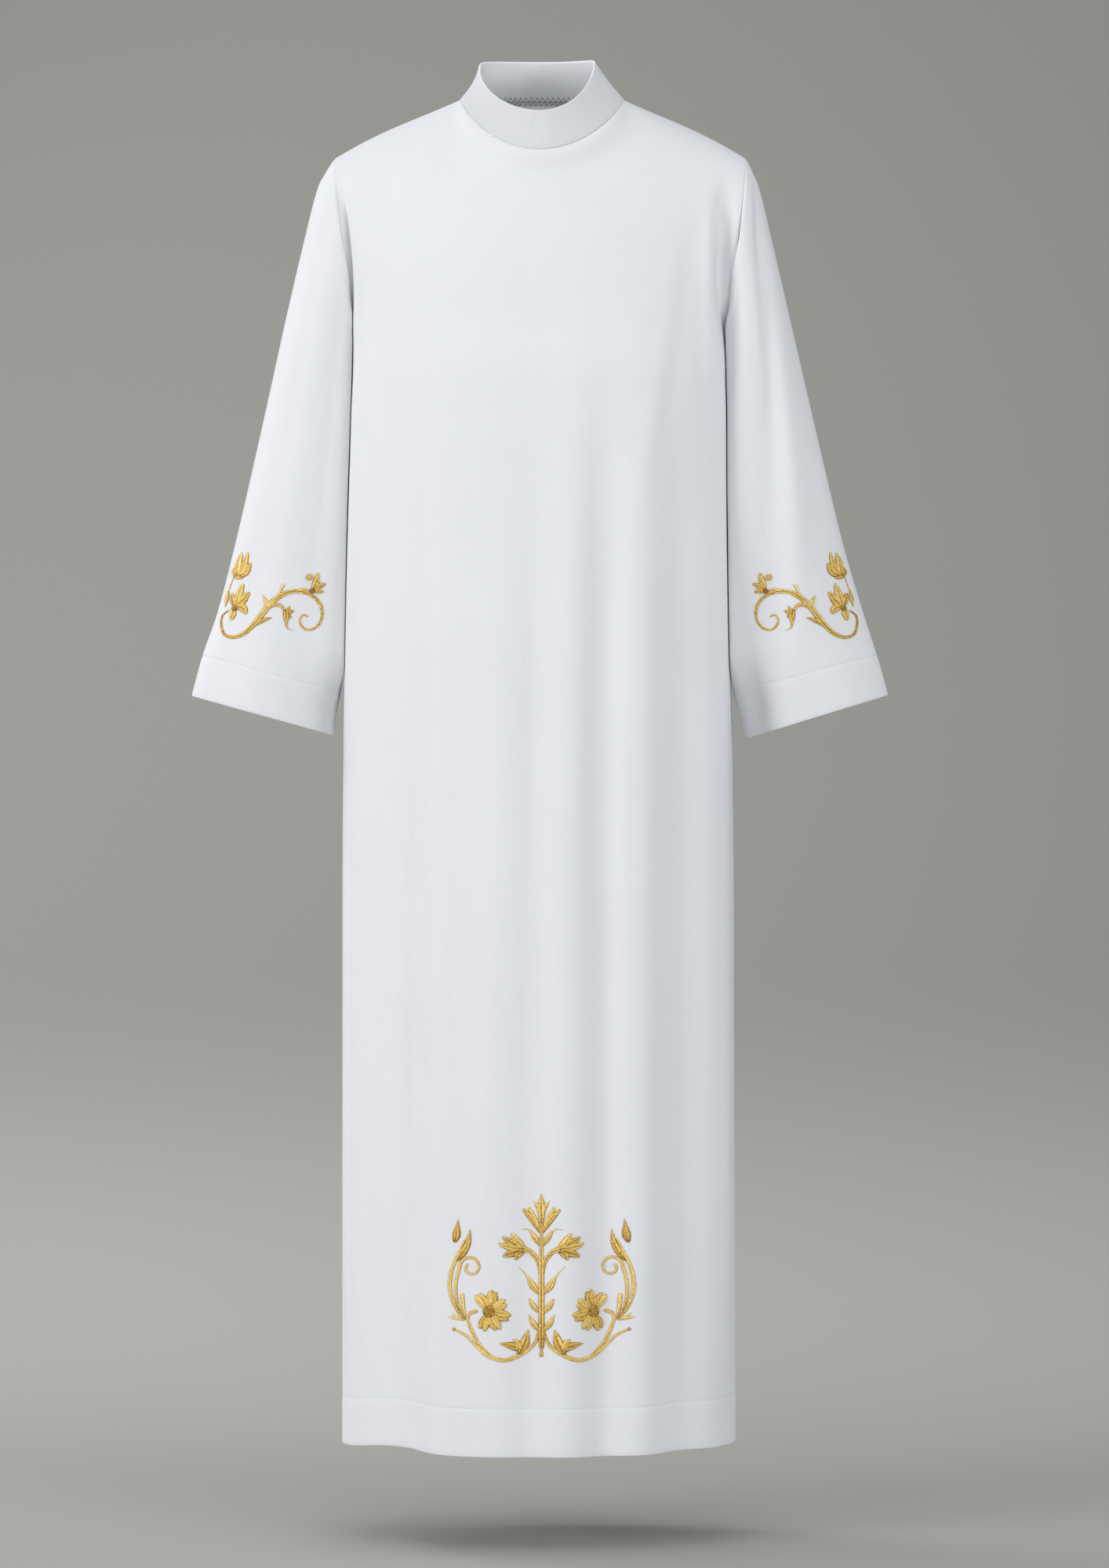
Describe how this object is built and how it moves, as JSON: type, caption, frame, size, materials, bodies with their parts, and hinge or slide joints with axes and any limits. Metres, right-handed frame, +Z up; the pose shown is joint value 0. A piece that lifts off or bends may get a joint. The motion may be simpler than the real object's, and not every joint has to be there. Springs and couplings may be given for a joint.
{
  "type": "alb",
  "caption": "Long white liturgical robe with a stand collar and set-in sleeves, worn over the body from neck to ankles and hanging in soft vertical folds",
  "frame": {"origin": "where the wearer's shoulders carry the garment, midway between the two points where the shoulder seams meet the collar (mount wearer_shoulders)", "axes": "+Z up, the front faces -Y, +X is the wearer's left"},
  "size_m": [0.7629, 0.2887, 1.5202],
  "materials": {
    "front_panel_cloth": "off-white plain-woven cloth, matt, with a faint cool tint",
    "back_panel_cloth": "off-white plain-woven cloth, matt, with a faint cool tint",
    "sleeve_right_cloth": "off-white plain-woven cloth, matt, with a faint cool tint",
    "sleeve_left_cloth": "off-white plain-woven cloth, matt, with a faint cool tint",
    "collar_cloth": "off-white plain-woven cloth, matt, with a faint cool tint",
    "shoulder_underlap_cloth": "off-white plain-woven cloth, matt, with a faint cool tint"
  },
  "bodies": {
    "root": {"front_panel": "front_panel_cloth", "back_panel": "back_panel_cloth", "sleeve_right": "sleeve_right_cloth", "sleeve_left": "sleeve_left_cloth", "collar": "collar_cloth", "shoulder_underlap": "shoulder_underlap_cloth"}
  },
  "joints": []
}
